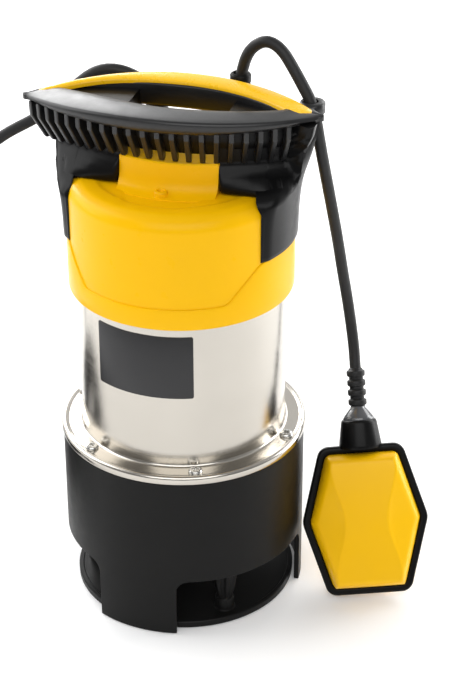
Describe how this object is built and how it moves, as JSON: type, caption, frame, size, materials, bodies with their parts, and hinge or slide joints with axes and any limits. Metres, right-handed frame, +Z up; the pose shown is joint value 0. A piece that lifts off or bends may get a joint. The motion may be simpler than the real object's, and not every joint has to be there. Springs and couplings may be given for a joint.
{
  "type": "submersible drainage pump",
  "caption": "Submersible dirty-water pump with a stainless motor shell, a carrying handle, a swinging float switch, a hose outlet and a coiled mains cord.",
  "frame": {"origin": "centre of the base on the floor, on the motor's axis", "axes": "+Z up along the motor's axis, -Y to the front, +X to the right-hand end of the handle, where the float hangs"},
  "size_m": [0.5031, 0.2355, 0.3702],
  "materials": {
    "black_plastic": "satin moulded",
    "yellow_plastic": "glossy moulded",
    "shell_steel": "brushed",
    "screw_steel": "bright",
    "cast_alloy": "cast",
    "core_steel": "laminated",
    "bearing_steel": "ground",
    "winding_copper": "enamelled",
    "seal_ceramic": "lapped",
    "capacitor_case": "drawn can",
    "seal_rubber": "matte",
    "cord_rubber": "matte",
    "tie_plastic": "matte",
    "housing_plastic": "matte",
    "nameplate_film": "semi-gloss film"
  },
  "bodies": {
    "pump": {"base_shell": "black_plastic", "wear_plate": "black_plastic", "bottom_plate": "black_plastic", "suction_posts": "black_plastic", "volute_wall": "black_plastic", "outlet_elbow": "black_plastic", "hose_tail": "black_plastic", "handle_frame": "black_plastic", "power_gland": "black_plastic", "float_gland": "black_plastic", "plug_body": "black_plastic", "cap_body": "yellow_plastic", "vent_plug": "yellow_plastic", "handle_inlay": "yellow_plastic", "motor_shell": "shell_steel", "flange_screws": "screw_steel", "plate_screws": "screw_steel", "handle_screws": "screw_steel", "plug_pins": "screw_steel", "seal_bracket": "cast_alloy", "upper_bracket": "cast_alloy", "stator_core": "core_steel", "lower_bearing_outer": "bearing_steel", "upper_bearing_outer": "bearing_steel", "winding_lower": "winding_copper", "winding_upper": "winding_copper", "fixed_seal": "seal_ceramic", "capacitor": "capacitor_case", "base_gasket": "seal_rubber", "cap_gasket": "seal_rubber", "float_cord_upper": "cord_rubber", "power_cord": "cord_rubber", "power_coil": "cord_rubber", "cord_tail": "cord_rubber", "coil_tie": "tie_plastic", "nameplate": "nameplate_film"},
    "rotor": {"rotor_shaft": "bearing_steel", "rotor_core": "core_steel", "lower_bearing_inner": "bearing_steel", "upper_bearing_inner": "bearing_steel", "rotating_seal": "seal_ceramic", "seal_spring": "screw_steel", "impeller": "black_plastic", "impeller_nut": "screw_steel"},
    "float": {"float_rim": "black_plastic", "float_shell_front": "yellow_plastic", "float_shell_back": "yellow_plastic", "float_collar": "black_plastic", "float_relief": "seal_rubber", "switch_housing": "housing_plastic", "float_cord_lower": "cord_rubber"},
    "ball": {"float_ball": "bearing_steel"},
    "lever": {"switch_lever": "winding_copper"}
  },
  "joints": [
    {"name": "rotor_spin", "type": "hinge", "parent": "pump", "child": "rotor", "pos_m": [0, 0, 0.1], "axis": [0, 0, 1], "continuous": true},
    {"name": "float_swing", "type": "hinge", "parent": "pump", "child": "float", "pos_m": [0.07839, 0.02929, 0.322], "axis": [0.2588, -0.9659, 0], "range_deg": [0, 90]},
    {"name": "ball_slide", "type": "slide", "parent": "float", "child": "ball", "axis": [-0.1765, 0.3892, 0.9041], "range_m": [0, 0.012]},
    {"name": "lever_tip", "type": "hinge", "parent": "float", "child": "lever", "pos_m": [0.11574, 0.02683, 0.07022], "axis": [0.9559, 0.2867, 0.0632], "range_deg": [0, 5]}
  ],
  "couplings": [
    {"joint": "lever_tip", "follows": "ball_slide", "rad_per_m": 6.5}
  ]
}
